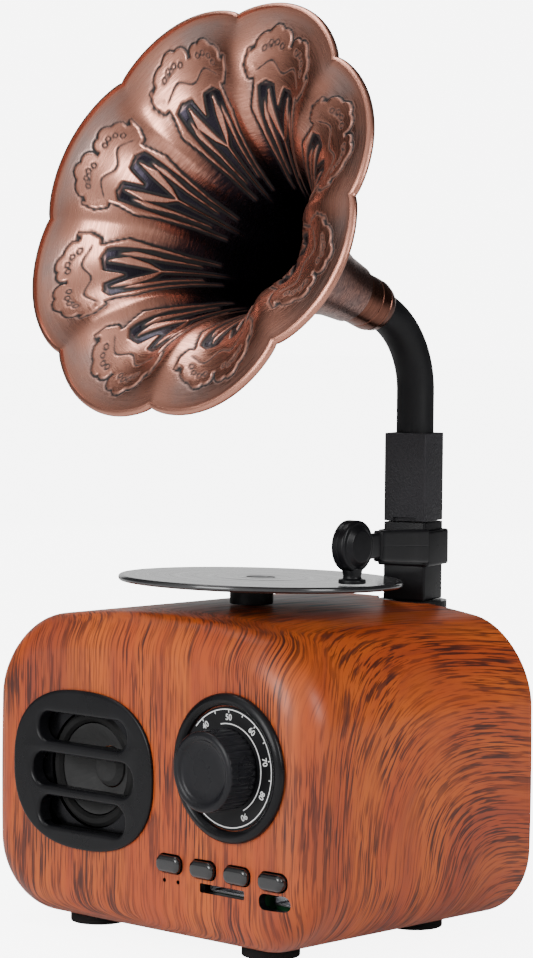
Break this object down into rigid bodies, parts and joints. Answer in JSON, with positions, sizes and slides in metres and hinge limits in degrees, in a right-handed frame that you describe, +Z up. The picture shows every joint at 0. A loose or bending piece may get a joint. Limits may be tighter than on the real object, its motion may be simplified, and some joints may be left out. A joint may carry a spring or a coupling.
{
  "type": "horn loudspeaker",
  "caption": "Desk loudspeaker styled as a horn gramophone: rounded wood-grain cabinet with grille, dial and keys, a record on top, and a swivelling post with tonearm and a lobed copper horn.",
  "frame": {"origin": "on the table, under the middle of the object's bounding box", "axes": "-Y is the front with grille, dial and keys, +Z is up, +X is the viewer's right when facing the front"},
  "size_m": [0.1426, 0.1282, 0.2712],
  "materials": {
    "wood_film": "satin printed wood-grain film, orange-brown with dark streaks",
    "cover_black": "fine-grained black moulding",
    "grille_black": "satin dark grey",
    "driver_steel": "pressed steel",
    "surround_rubber": "soft black rubber",
    "cone_paper": "dark fibrous cone",
    "coil_copper": "enamelled copper wire on a former",
    "bezel_gloss": "gloss black",
    "dial_print": "dark grey with white printed scale",
    "knob_black": "satin black, fluted",
    "shaft_steel": "turned steel",
    "board_green": "green circuit board",
    "lens_clear": "smoked plastic",
    "socket_steel": "bright plated sheet",
    "switch_steel": "plated switch can with black button",
    "battery_wrap": "blue shrink wrap",
    "cradle_black": "black moulding",
    "lead_wire": "red insulated wire",
    "pedestal_black": "satin black",
    "record_vinyl": "gloss black with fine grooves",
    "post_black": "satin black",
    "sleeve_black": "finely textured black",
    "arm_black": "satin black",
    "pipe_black": "matt black painted tube",
    "ferrule_copper": "brushed antique copper with turned rings",
    "horn_copper": "antique copper, dark patina towards the throat",
    "foot_rubber": "black rubber",
    "screw_steel": "blackened steel",
    "key_gloss": "gloss black"
  },
  "bodies": {
    "cabinet": {"cabinet_shell": "wood_film", "back_cover": "cover_black", "grille": "grille_black", "speaker_basket": "driver_steel", "speaker_magnet": "driver_steel", "speaker_surround": "surround_rubber", "speaker_cone": "cone_paper", "speaker_cap": "cone_paper", "voice_coil": "coil_copper", "dial_bezel": "bezel_gloss", "dial_face": "dial_print", "pot_nut": "shaft_steel", "pot_body": "shaft_steel", "control_board": "board_green", "status_light": "lens_clear", "microphone": "lens_clear", "card_socket": "socket_steel", "usb_socket": "socket_steel", "battery": "battery_wrap", "battery_cradle": "cradle_black", "speaker_lead": "lead_wire", "battery_lead": "lead_wire", "pedestal": "pedestal_black", "spindle_pin": "pedestal_black", "post_socket": "post_black", "foot_1": "foot_rubber", "cover_screw_1": "screw_steel", "tact_switch_1": "switch_steel", "foot_2": "foot_rubber", "cover_screw_2": "screw_steel", "tact_switch_2": "switch_steel", "foot_3": "foot_rubber", "cover_screw_3": "screw_steel", "tact_switch_3": "switch_steel", "foot_4": "foot_rubber", "cover_screw_4": "screw_steel", "tact_switch_4": "switch_steel", "socket_screw_1": "screw_steel", "socket_screw_2": "screw_steel"},
    "volume_knob": {"knob": "knob_black", "pot_shaft": "shaft_steel"},
    "key_1": {"key_1": "key_gloss"},
    "key_2": {"key_2": "key_gloss"},
    "key_3": {"key_3": "key_gloss"},
    "key_4": {"key_4": "key_gloss"},
    "record": {"record": "record_vinyl"},
    "post": {"post": "post_black", "horn_sleeve": "sleeve_black"},
    "tonearm": {"tonearm_arm": "arm_black", "tonearm_head": "arm_black", "stylus_foot": "arm_black"},
    "pipe": {"horn_pipe": "pipe_black"},
    "horn": {"horn_ferrule": "ferrule_copper", "horn_bell": "horn_copper"}
  },
  "joints": [
    {"name": "knob_turn", "type": "hinge", "parent": "cabinet", "child": "volume_knob", "pos_m": [0.03075, -0.0493, 0.05565], "axis": [0, 1, 0], "range_deg": [-140, 140]},
    {"name": "key_1_press", "type": "slide", "parent": "cabinet", "child": "key_1", "axis": [0, 1, 0], "range_m": [0, 0.0008], "stiffness_N_per_m": 700},
    {"name": "key_2_press", "type": "slide", "parent": "cabinet", "child": "key_2", "axis": [0, 1, 0], "range_m": [0, 0.0008], "stiffness_N_per_m": 700},
    {"name": "key_3_press", "type": "slide", "parent": "cabinet", "child": "key_3", "axis": [0, 1, 0], "range_m": [0, 0.0008], "stiffness_N_per_m": 700},
    {"name": "key_4_press", "type": "slide", "parent": "cabinet", "child": "key_4", "axis": [0, 1, 0], "range_m": [0, 0.0008], "stiffness_N_per_m": 700},
    {"name": "record_spin", "type": "hinge", "parent": "cabinet", "child": "record", "pos_m": [-0.00525, 0.0007, 0.10396], "axis": [0, 0.0262, 0.9997], "continuous": true},
    {"name": "post_swivel", "type": "hinge", "parent": "cabinet", "child": "post", "pos_m": [0.00845, 0.0536, 0.095], "axis": [0, 0, 1], "range_deg": [-24, 32]},
    {"name": "tonearm_lift", "type": "slide", "parent": "post", "child": "tonearm", "axis": [0, 0, 1], "range_m": [0, 0.02]},
    {"name": "pipe_swivel", "type": "hinge", "parent": "post", "child": "pipe", "pos_m": [0.00845, 0.0539, 0.14], "axis": [0, 0, 1], "range_deg": [-70, 70]},
    {"name": "horn_twist", "type": "hinge", "parent": "pipe", "child": "horn", "pos_m": [0.00845, 0.0365, 0.1835], "axis": [0, -0.9397, 0.342], "range_deg": [-45, 45]}
  ]
}
